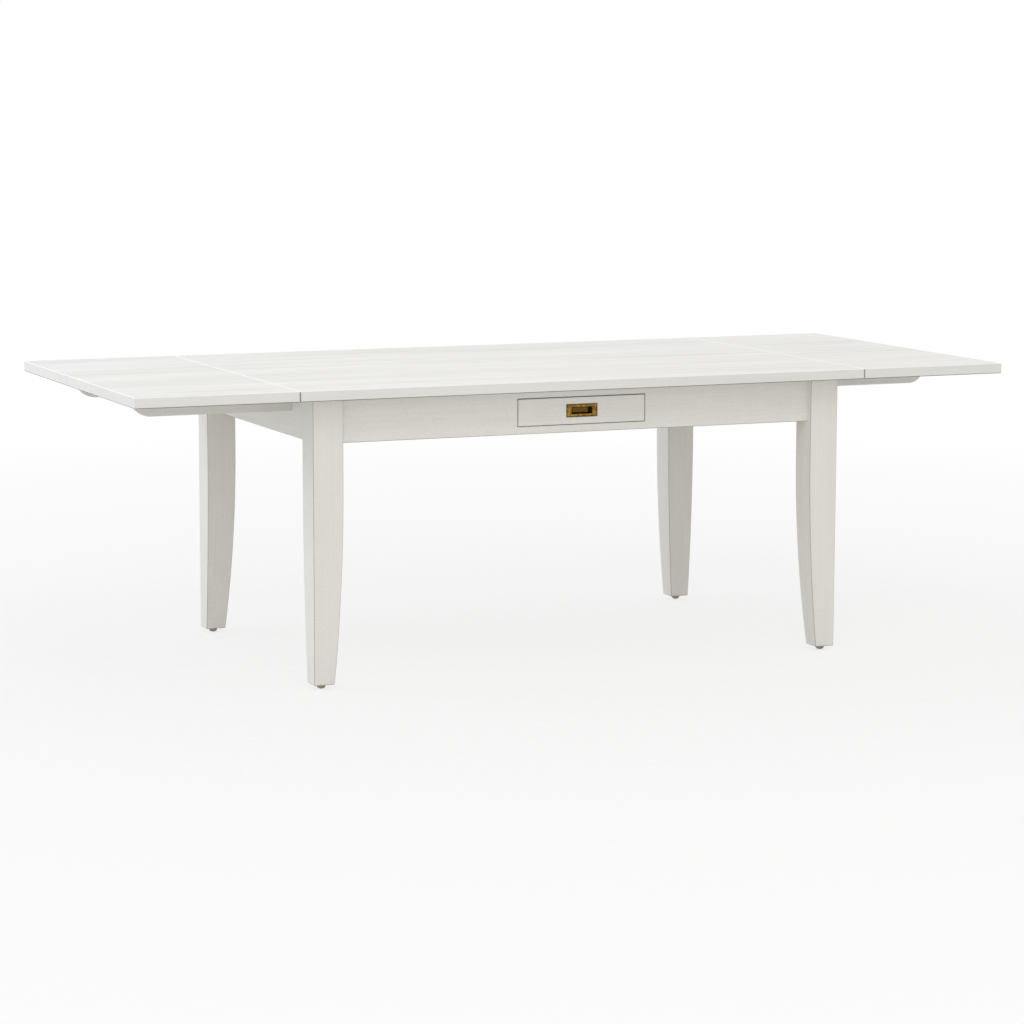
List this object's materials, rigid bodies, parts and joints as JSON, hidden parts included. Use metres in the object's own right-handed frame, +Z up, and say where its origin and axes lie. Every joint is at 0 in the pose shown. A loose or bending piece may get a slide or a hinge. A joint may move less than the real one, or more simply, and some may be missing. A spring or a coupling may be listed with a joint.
{
  "type": "extending dining table",
  "caption": "Rectangular dining table with tapered legs, end leaves on pull-out lopers and a flush drawer in the front apron.",
  "frame": {"origin": "on the floor under the middle of the table top", "axes": "+X along the table from the left leaf to the right leaf, +Y from the drawer side to the back, +Z up"},
  "size_m": [2.4254, 1.041, 0.762],
  "materials": {
    "top_paint": "white brushed satin paint over open-grained wood",
    "frame_paint": "white satin paint on wood",
    "loper_paint": "white satin paint on wood, rubbed where it slides",
    "inner_wood": "unpainted sealed softwood",
    "drawer_panel": "thin birch-faced plywood",
    "dowel_wood": "turned beech, unpainted",
    "antique_brass": "antiqued brass, dark in the recesses",
    "zinc_steel": "bright zinc plating",
    "glide_steel": "dull nickel plating"
  },
  "bodies": {
    "frame": {"back_apron": "frame_paint", "bearer_left": "inner_wood", "bearer_right": "inner_wood", "bolt_nuts": "zinc_steel", "bolt_washers": "zinc_steel", "centre_top": "top_paint", "corner_block_back_left": "inner_wood", "corner_block_back_right": "inner_wood", "corner_block_front_left": "inner_wood", "corner_block_front_right": "inner_wood", "corner_block_screws": "zinc_steel", "drawer_kicker_left": "inner_wood", "drawer_kicker_right": "inner_wood", "drawer_runner_left": "inner_wood", "drawer_runner_right": "inner_wood", "drawer_stops": "inner_wood", "front_apron": "frame_paint", "glides": "glide_steel", "hanger_bolts": "zinc_steel", "left_end_apron": "frame_paint", "leg_back_left": "frame_paint", "leg_back_right": "frame_paint", "leg_front_left": "frame_paint", "leg_front_right": "frame_paint", "right_end_apron": "frame_paint", "runner_screws": "zinc_steel", "top_button_screws": "zinc_steel", "top_buttons": "inner_wood"},
    "leaf_left": {"leaf_left": "top_paint", "leaf_left_dowels": "dowel_wood"},
    "leaf_right": {"leaf_right": "top_paint", "leaf_right_dowels": "dowel_wood"},
    "loper_front_left": {"loper_front_left": "loper_paint", "stop_peg_front_left": "dowel_wood"},
    "loper_front_right": {"loper_front_right": "loper_paint", "stop_peg_front_right": "dowel_wood"},
    "loper_back_left": {"loper_back_left": "loper_paint", "stop_peg_back_left": "dowel_wood"},
    "loper_back_right": {"loper_back_right": "loper_paint", "stop_peg_back_right": "dowel_wood"},
    "drawer": {"drawer_front": "frame_paint", "drawer_inner_front": "inner_wood", "drawer_side_left": "inner_wood", "drawer_side_right": "inner_wood", "drawer_back": "inner_wood", "drawer_bottom": "drawer_panel", "drawer_pull": "antique_brass", "drawer_front_screws": "zinc_steel", "pull_screws": "zinc_steel"}
  },
  "joints": [
    {"name": "leaf_left_pull", "type": "slide", "parent": "frame", "child": "leaf_left", "axis": [-1, 0, 0], "range_m": [0, 0.14]},
    {"name": "leaf_right_pull", "type": "slide", "parent": "frame", "child": "leaf_right", "axis": [1, 0, 0], "range_m": [0, 0.14]},
    {"name": "loper_front_left_slide", "type": "slide", "parent": "frame", "child": "loper_front_left", "axis": [1, 0, 0], "range_m": [0, 0.369]},
    {"name": "loper_front_right_slide", "type": "slide", "parent": "frame", "child": "loper_front_right", "axis": [-1, 0, 0], "range_m": [0, 0.369]},
    {"name": "loper_back_left_slide", "type": "slide", "parent": "frame", "child": "loper_back_left", "axis": [1, 0, 0], "range_m": [0, 0.369]},
    {"name": "loper_back_right_slide", "type": "slide", "parent": "frame", "child": "loper_back_right", "axis": [-1, 0, 0], "range_m": [0, 0.369]},
    {"name": "drawer_slide", "type": "slide", "parent": "frame", "child": "drawer", "axis": [0, -1, 0], "range_m": [0, 0.24]}
  ]
}
